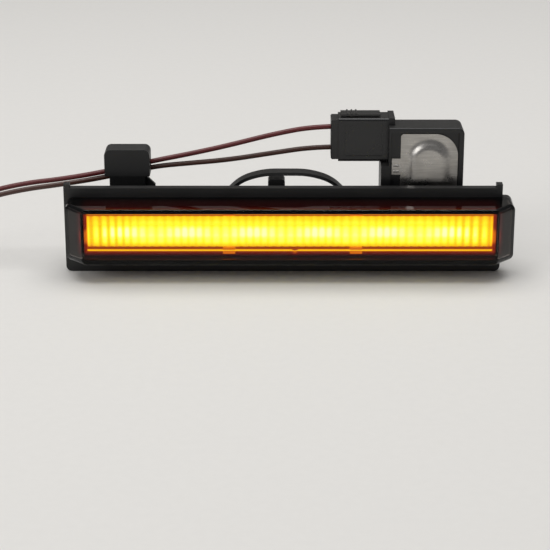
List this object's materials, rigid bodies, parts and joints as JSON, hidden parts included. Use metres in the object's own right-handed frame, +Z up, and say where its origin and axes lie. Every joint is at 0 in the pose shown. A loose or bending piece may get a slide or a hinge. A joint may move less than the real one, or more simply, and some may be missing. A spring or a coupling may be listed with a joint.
{
  "type": "marker lamp",
  "caption": "slim lit amber marker lamp with smoked raked-end lens, fluted light bar, black housing, steel spring leaf, plug and two-wire lead",
  "frame": {"origin": "middle of the lamp on the surface it stands on, wires not counted", "axes": "+X along the lamp to the right seen from the lens side, +Y from the lens to the back, +Z up"},
  "size_m": [0.2455, 0.034, 0.0515],
  "materials": {
    "smoked_lens": "gloss smoked acrylic",
    "black_plastic": "fine satin moulding",
    "gloss_black": "gloss moulding",
    "lit_amber": "clear amber optic, lit",
    "white_plastic": "white moulding",
    "green_board": "solder mask",
    "led_yellow": "phosphor resin",
    "dark_ceramic": "glazed chip body",
    "dark_resin": "moulded resin",
    "tinned_brass": "tin plated",
    "zinc_steel": "zinc plated",
    "foam_rubber": "closed cell foam",
    "spring_steel": "bright rolled strip",
    "grey_rubber": "soft matt",
    "plug_black": "satin moulding",
    "seal_rubber": "silicone",
    "red_sleeve": "extruded sleeve",
    "brown_sleeve": "extruded sleeve",
    "clip_black": "satin moulding",
    "tinned_copper": "tinned strand"
  },
  "bodies": {
    "root": {"lens": "smoked_lens", "housing": "black_plastic", "bezel": "gloss_black", "optic": "lit_amber", "light_tray": "white_plastic", "circuit_board": "green_board", "light_sources": "led_yellow", "resistors": "dark_ceramic", "diode": "dark_resin", "connector_blades": "tinned_brass", "board_screws": "zinc_steel", "gasket": "foam_rubber", "spring_leaf": "spring_steel", "vent_cap": "grey_rubber", "plug": "plug_black", "plug_cap": "plug_black", "wire_seals": "seal_rubber", "plug_terminals": "tinned_brass", "upper_wire": "red_sleeve", "lower_wire": "brown_sleeve", "cable_clip": "clip_black", "wire_ends": "tinned_copper"}
  },
  "joints": []
}
